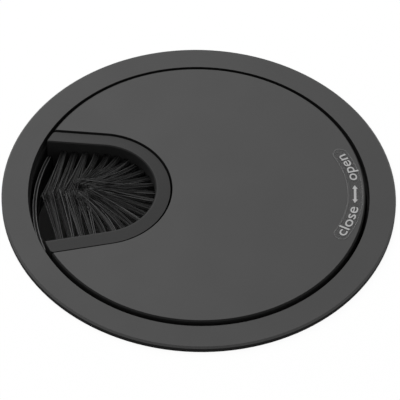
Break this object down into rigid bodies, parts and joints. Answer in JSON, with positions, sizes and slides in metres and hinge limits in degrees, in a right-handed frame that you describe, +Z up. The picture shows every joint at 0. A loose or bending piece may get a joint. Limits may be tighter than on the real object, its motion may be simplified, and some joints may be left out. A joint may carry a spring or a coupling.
{
  "type": "brush cable grommet",
  "caption": "Round black plastic desk cable grommet: a flanged sleeve with a twist-lock lid whose U-shaped outlet is closed by a fan of brush tufts.",
  "frame": {"origin": "on the grommet's axis, level with the underside of the flange, which lies on the desk", "axes": "+Z up out of the desk, -X towards the cable outlet, +X towards the label"},
  "size_m": [0.089, 0.089, 0.0221],
  "materials": {
    "housing_plastic": "satin black moulded plastic",
    "lid_plastic": "satin black moulded plastic",
    "frame_plastic": "fine matt black moulded plastic",
    "bristle": "black nylon bristles",
    "label_film": "clear self-adhesive film"
  },
  "bodies": {
    "housing": {"housing": "housing_plastic"},
    "turning_lid": {"lid": "lid_plastic", "brush_frame": "frame_plastic", "tuft_01": "bristle", "tuft_02": "bristle", "tuft_03": "bristle", "tuft_04": "bristle", "tuft_05": "bristle", "tuft_06": "bristle", "tuft_07": "bristle", "tuft_08": "bristle", "tuft_09": "bristle", "tuft_10": "bristle", "tuft_11": "bristle", "tuft_12": "bristle", "tuft_13": "bristle", "tuft_14": "bristle", "tuft_15": "bristle", "tuft_16": "bristle", "tuft_17": "bristle", "tuft_18": "bristle", "tuft_19": "bristle", "tuft_20": "bristle", "tuft_21": "bristle", "tuft_22": "bristle", "tuft_23": "bristle", "tuft_24": "bristle", "label": "label_film"}
  },
  "joints": [
    {"name": "lid_turn", "type": "hinge", "parent": "housing", "child": "turning_lid", "pos_m": [0, 0, 0], "axis": [0, 0, 1], "range_deg": [0, 25]}
  ]
}
